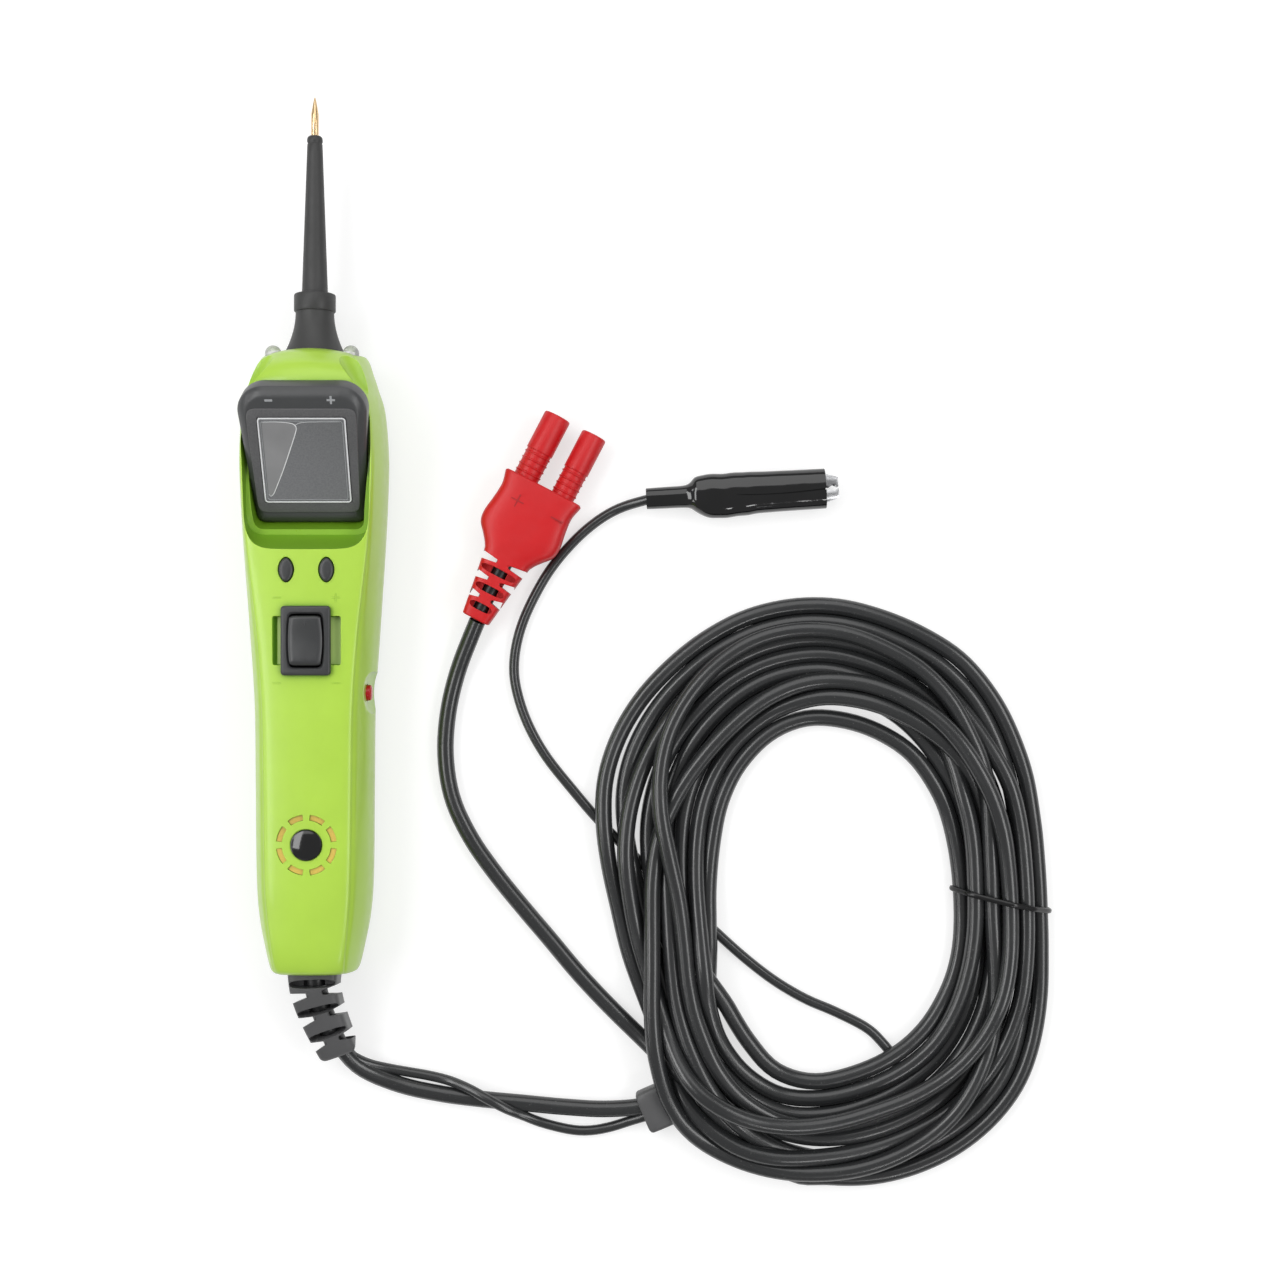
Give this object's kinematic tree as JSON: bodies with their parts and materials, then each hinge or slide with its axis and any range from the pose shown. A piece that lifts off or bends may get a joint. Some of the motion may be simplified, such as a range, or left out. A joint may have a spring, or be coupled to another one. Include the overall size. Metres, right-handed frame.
{
  "type": "automotive circuit tester",
  "caption": "Hand-held powered circuit probe with tilted display, rocker switch, buttons, lamps and sounder, on a coiled power lead with battery plug and a ground lead with spring clip.",
  "frame": {"origin": "centre of the tester's outline on the surface it lies on, at the height of its flat back; the leads, plug and clip are not counted", "axes": "+Y along the tester towards the probe tip, +Z out of the back up through the display face, +X to the right as the display is read"},
  "size_m": [0.2505, 0.3382, 0.0409],
  "materials": {
    "green_case": "satin",
    "grey_plastic": "satin",
    "black_plastic": "satin",
    "black_rubber": "satin",
    "black_gloss": "gloss",
    "red_plastic": "gloss",
    "red_rubber": "satin",
    "lead": "satin",
    "lens": "gloss",
    "lamp": "clear",
    "board": "satin",
    "brass": "polished",
    "steel": "plated"
  },
  "bodies": {
    "tester": {"front_case": "green_case", "rear_case": "green_case", "case_screws": "steel", "display_bezel": "grey_plastic", "display_lens": "lens", "display_module": "grey_plastic", "main_board": "board", "button_board": "board", "tact_switches": "black_plastic", "rocker_frame": "black_plastic", "rocker_terminals": "brass", "breaker_body": "black_plastic", "sounder_disc": "brass", "badge": "black_gloss", "lamp_left": "lamp", "lamp_right": "lamp", "probe_tip": "brass", "probe_sleeve": "black_rubber", "probe_nozzle": "black_rubber", "probe_terminal": "brass", "cable_boot": "black_rubber", "power_lead": "lead", "power_coil": "lead", "power_lead_end": "lead", "ground_lead": "lead", "lead_collar": "black_rubber", "coil_tie": "black_gloss", "plug_body": "red_rubber", "contact_positive": "brass", "contact_negative": "brass", "clip_jaw_fixed": "steel", "clip_pivot": "steel", "clip_spring": "steel", "clip_boot": "black_gloss"},
    "rocker_body": {"rocker": "black_plastic"},
    "left_button_body": {"mode_button_left": "black_rubber"},
    "right_button_body": {"mode_button_right": "black_rubber"},
    "reset_body": {"reset_button": "red_plastic"},
    "jaw_body": {"clip_jaw_moving": "steel"}
  },
  "joints": [
    {"name": "rocker_tilt", "type": "hinge", "parent": "tester", "child": "rocker_body", "pos_m": [0, -0.0332, 0.02705], "axis": [1, 0, 0], "range_deg": [-8, 8], "stiffness_Nm_per_rad": 0.02},
    {"name": "left_button_press", "type": "slide", "parent": "tester", "child": "left_button_body", "axis": [0, 0, -1], "range_m": [0, 0.0005], "stiffness_N_per_m": 1500},
    {"name": "right_button_press", "type": "slide", "parent": "tester", "child": "right_button_body", "axis": [0, 0, -1], "range_m": [0, 0.0005], "stiffness_N_per_m": 1500},
    {"name": "reset_pop", "type": "slide", "parent": "tester", "child": "reset_body", "axis": [1, 0, 0], "range_m": [0, 0.0015], "stiffness_N_per_m": 800},
    {"name": "jaw_open", "type": "hinge", "parent": "tester", "child": "jaw_body", "pos_m": [0.13584, 0.0133, 0.0051], "axis": [0, 0, 1], "range_deg": [0, 14], "stiffness_Nm_per_rad": 0.4, "springref_deg": -5.73, "deforming": ["clip_boot"]}
  ]
}
